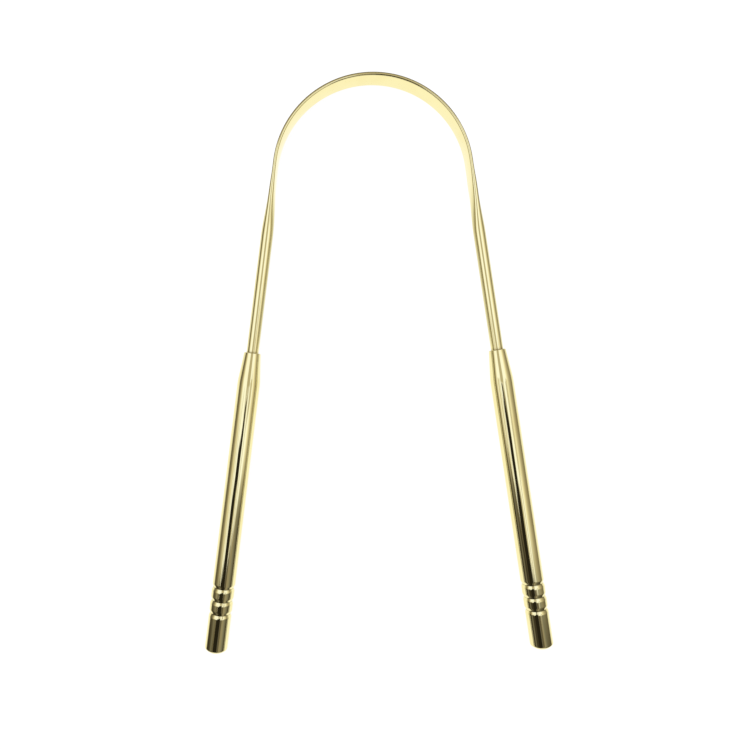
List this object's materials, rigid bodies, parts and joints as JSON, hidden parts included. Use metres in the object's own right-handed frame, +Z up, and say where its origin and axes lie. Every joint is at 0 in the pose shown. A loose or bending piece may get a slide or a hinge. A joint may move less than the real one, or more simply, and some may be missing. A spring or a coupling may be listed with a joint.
{
  "type": "tongue scraper",
  "caption": "U-shaped tongue scraper: a polished brass wire pressed flat on edge round its arch as the blade, with splayed round legs set in tapered handles that have grooved, domed ends.",
  "frame": {"origin": "centre of the underside of the box round the whole scraper as it lies flat", "axes": "+Z up from the table it lies on, +Y toward the arch, the scraper symmetric about X = 0"},
  "size_m": [0.0926, 0.1528, 0.006],
  "materials": {
    "wire_brass": "polished",
    "handle_brass": "polished",
    "plug_brass": "polished"
  },
  "bodies": {
    "root": {"scraper_wire": "wire_brass", "left_handle_tube": "handle_brass", "right_handle_tube": "handle_brass", "left_end_plug": "plug_brass", "right_end_plug": "plug_brass"}
  },
  "joints": []
}
